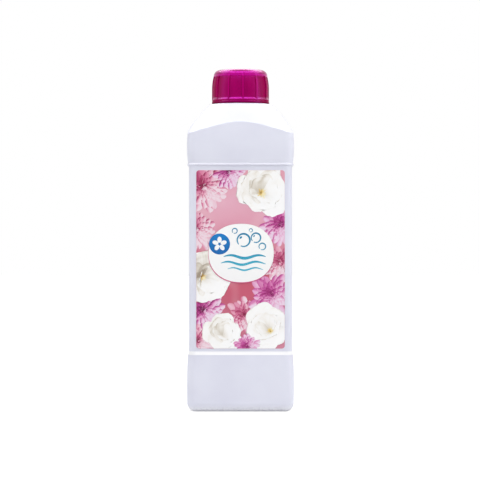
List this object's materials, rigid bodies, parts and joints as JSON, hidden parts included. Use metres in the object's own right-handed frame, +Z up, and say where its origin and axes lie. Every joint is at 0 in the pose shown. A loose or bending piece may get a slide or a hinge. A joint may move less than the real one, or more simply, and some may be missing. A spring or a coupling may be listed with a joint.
{
  "type": "laundry detergent bottle",
  "caption": "Tall blown bottle of near-square section with a recessed label panel, a domed shoulder and a ribbed screw cap, full of liquid detergent.",
  "frame": {"origin": "centre of the base, on the plane it stands on", "axes": "+Z up along the neck, -Y towards the front label, +X to the right as seen from the front"},
  "size_m": [0.078, 0.069, 0.25],
  "materials": {
    "bottle_plastic": "satin",
    "liquid": "gloss",
    "cap_plastic": "gloss",
    "disc_foam": "matte",
    "label_film": "satin"
  },
  "bodies": {
    "bottle_body": {"bottle": "bottle_plastic", "detergent": "liquid", "front_label": "label_film", "back_label": "label_film"},
    "disc_body": {"sealing_disc": "disc_foam"},
    "cap_body": {"screw_cap": "cap_plastic"}
  },
  "joints": [
    {"name": "cap_lift", "type": "slide", "parent": "bottle_body", "child": "disc_body", "axis": [0, 0, 1], "range_m": [0, 0.0252]},
    {"name": "cap_turn", "type": "hinge", "parent": "disc_body", "child": "cap_body", "pos_m": [0, 0, 0.2464], "axis": [0, 0, 1], "range_deg": [0, 2160.5]}
  ],
  "couplings": [
    {"joint": "cap_turn", "follows": "cap_lift", "rad_per_m": 1496}
  ]
}
